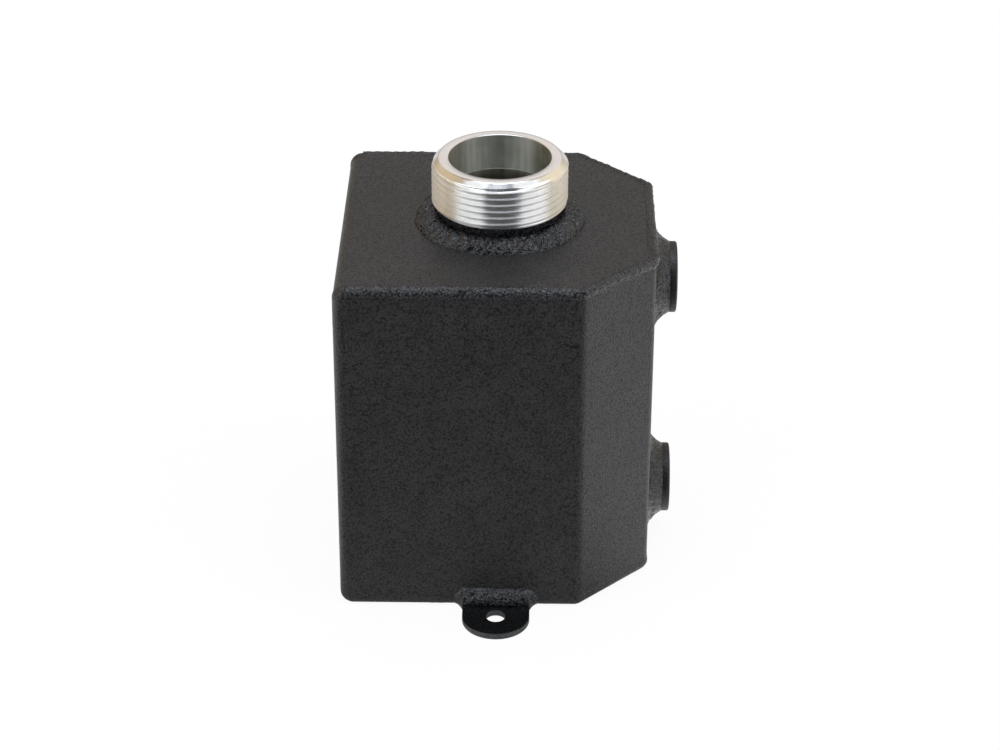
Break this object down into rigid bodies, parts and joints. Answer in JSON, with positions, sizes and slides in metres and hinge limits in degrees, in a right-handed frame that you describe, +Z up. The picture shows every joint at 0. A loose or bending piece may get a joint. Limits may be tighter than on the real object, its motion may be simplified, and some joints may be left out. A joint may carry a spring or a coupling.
{
  "type": "coolant tank",
  "caption": "Black-coated welded aluminium coolant tank: box body with slanted corners, threaded filler neck on top, side pipe ports and bolt-down tabs at the base.",
  "frame": {"origin": "middle of the base's underside", "axes": "+Z up along the filler neck, +X out of the port wall, +Y towards the back; the tabs point along -Y and +Y"},
  "size_m": [0.1264, 0.1612, 0.161],
  "materials": {
    "black_coat": "black wrinkle powder coat",
    "weld_coat": "black wrinkle powder coat over weld beads",
    "bare_aluminium": "turned, left bare"
  },
  "bodies": {
    "root": {"top_base_channel": "black_coat", "side_wrap": "black_coat", "filler_neck": "bare_aluminium", "upper_port": "black_coat", "lower_port": "black_coat", "front_tab": "black_coat", "rear_tab": "black_coat", "top_seam_weld": "weld_coat", "base_seam_weld": "weld_coat", "front_seam_weld": "weld_coat", "rear_seam_weld": "weld_coat", "neck_weld": "weld_coat", "upper_port_weld": "weld_coat", "lower_port_weld": "weld_coat", "front_tab_weld": "weld_coat", "rear_tab_weld": "weld_coat"}
  },
  "joints": []
}
